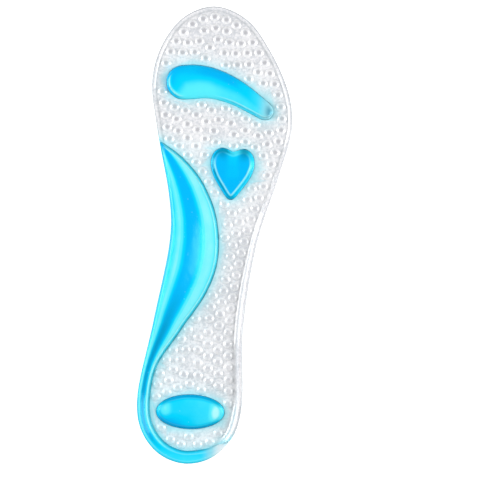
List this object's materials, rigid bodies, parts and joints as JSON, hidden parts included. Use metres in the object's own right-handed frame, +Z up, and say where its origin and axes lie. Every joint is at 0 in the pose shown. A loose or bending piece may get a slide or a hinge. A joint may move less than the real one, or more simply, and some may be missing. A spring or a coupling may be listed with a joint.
{
  "type": "cushioned insole",
  "caption": "Clear gel shoe insole with massage dots, a raised edge and blue gel cushions under the forefoot, metatarsals, arch and heel. It bends at the ball.",
  "frame": {"origin": "on the surface that the insole rests on, under the middle of its plan", "axes": "+Z up, from the sole side to the foot side; +Y from the heel to the toes; +X towards the little toe of a right foot"},
  "size_m": [0.0766, 0.245, 0.0095],
  "materials": {
    "clear_gel": "clear glossy gel",
    "blue_gel": "tinted glossy gel"
  },
  "bodies": {
    "rear_section": {"gel_base_rear": "clear_gel", "arch_and_heel_band": "blue_gel", "heel_pad": "blue_gel", "metatarsal_heart_pad": "blue_gel"},
    "toe_section": {"gel_base_front": "clear_gel", "forefoot_pad": "blue_gel"}
  },
  "joints": [
    {"name": "toe_flex", "type": "hinge", "parent": "rear_section", "child": "toe_section", "pos_m": [0, 0.05503, 0.00375], "axis": [1, 0, 0], "range_deg": [0, 60], "stiffness_Nm_per_rad": 0.002}
  ]
}
